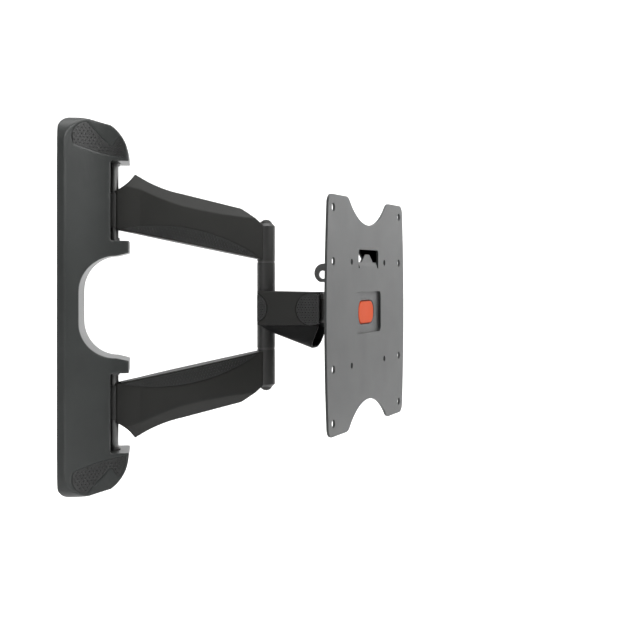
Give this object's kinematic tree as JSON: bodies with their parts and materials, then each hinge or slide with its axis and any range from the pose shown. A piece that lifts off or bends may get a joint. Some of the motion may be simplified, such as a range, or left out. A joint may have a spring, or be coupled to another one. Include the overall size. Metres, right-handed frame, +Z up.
{
  "type": "full motion wall mount",
  "caption": "Folding wall mount for a flat screen: moulded wall plate, paired swing arms, short forearm, swivelling and tilting head and a grey hole-grid plate with a release button.",
  "frame": {"origin": "centre of the wall plate's back face, on the wall", "axes": "+Y into the wall, the mount reaches out along -Y, +Z up"},
  "size_m": [0.2067, 0.363, 0.369],
  "materials": {
    "cover_plastic": "satin moulded charcoal plastic",
    "arm_plastic": "fine-textured matte black plastic",
    "inlay_plastic": "satin black plastic with a pattern of small holes",
    "duct_plastic": "matte black plastic",
    "black_steel": "black powder coat",
    "head_steel": "dark grey powder coat",
    "plate_steel": "mid grey satin powder coat",
    "pin_steel": "black oiled steel",
    "zinc_steel": "zinc-plated steel",
    "nylon": "dark nylon",
    "button_plastic": "orange satin plastic"
  },
  "bodies": {
    "wall_plate": {"wall_base": "black_steel", "wall_cover": "cover_plastic", "upper_cover_inlays": "inlay_plastic", "lower_cover_inlays": "inlay_plastic", "upper_pivot_bracket": "black_steel", "lower_pivot_bracket": "black_steel", "bracket_screws": "zinc_steel", "upper_pivot_pin": "pin_steel", "lower_pivot_pin": "pin_steel", "pivot_sleeves": "pin_steel", "cover_clips": "cover_plastic"},
    "main_arm": {"lower_arm_beam": "black_steel", "lower_arm_far_cover": "arm_plastic", "lower_arm_far_inlay": "inlay_plastic", "lower_arm_near_cover": "arm_plastic", "lower_arm_near_inlay": "inlay_plastic", "upper_arm_beam": "black_steel", "upper_arm_far_cover": "arm_plastic", "upper_arm_far_inlay": "inlay_plastic", "upper_arm_near_cover": "arm_plastic", "upper_arm_near_inlay": "inlay_plastic", "arm_bushes": "nylon", "elbow_shaft": "pin_steel", "elbow_washers": "nylon", "upper_elbow_cap": "arm_plastic", "lower_elbow_cap": "arm_plastic"},
    "forearm": {"forearm_beam": "black_steel", "forearm_bushes": "nylon", "forearm_far_cover": "arm_plastic", "forearm_far_elbow_inlay": "inlay_plastic", "forearm_far_head_inlay": "inlay_plastic", "forearm_near_cover": "arm_plastic", "forearm_near_elbow_inlay": "inlay_plastic", "forearm_near_head_inlay": "inlay_plastic", "cable_duct": "duct_plastic"},
    "head": {"swivel_yoke": "head_steel", "cable_loop": "head_steel", "swivel_pin": "pin_steel", "swivel_nut": "zinc_steel", "swivel_washers": "nylon"},
    "tilt_head": {"carrier": "head_steel", "tilt_bolts": "zinc_steel", "tilt_washers": "nylon", "screen_plate": "plate_steel", "plate_hooks": "plate_steel", "latch_keeper": "plate_steel", "latch_housing": "duct_plastic", "button_spring": "zinc_steel"},
    "button": {"release_button": "button_plastic"},
    "latch": {"latch_bolt": "zinc_steel"}
  },
  "joints": [
    {"name": "wall_swing", "type": "hinge", "parent": "wall_plate", "child": "main_arm", "pos_m": [0, -0.0507, 0], "axis": [0, 0, 1], "range_deg": [-79.3, 60.7]},
    {"name": "elbow_swing", "type": "hinge", "parent": "main_arm", "child": "forearm", "pos_m": [0.02553, -0.20662, 0], "axis": [0, 0, -1], "range_deg": [-158.75, 81.25]},
    {"name": "head_swivel", "type": "hinge", "parent": "forearm", "child": "head", "pos_m": [-0.0079, -0.26584, -0.006], "axis": [0, 0, 1], "range_deg": [-60, 60]},
    {"name": "screen_tilt", "type": "hinge", "parent": "head", "child": "tilt_head", "pos_m": [-0.0197, -0.28674, -0.006], "axis": [0.8708, -0.4917, 0], "range_deg": [-5, 15]},
    {"name": "button_press", "type": "slide", "parent": "tilt_head", "child": "button", "axis": [0.4917, 0.8708, 0], "range_m": [0, 0.003], "stiffness_N_per_m": 500, "springref_m": -0.004, "deforming": ["button_spring"]},
    {"name": "latch_slide", "type": "slide", "parent": "tilt_head", "child": "latch", "axis": [0, 0, 1], "range_m": [0, 0.003]}
  ],
  "couplings": [
    {"joint": "latch_slide", "follows": "button_press", "ratio": 1}
  ]
}
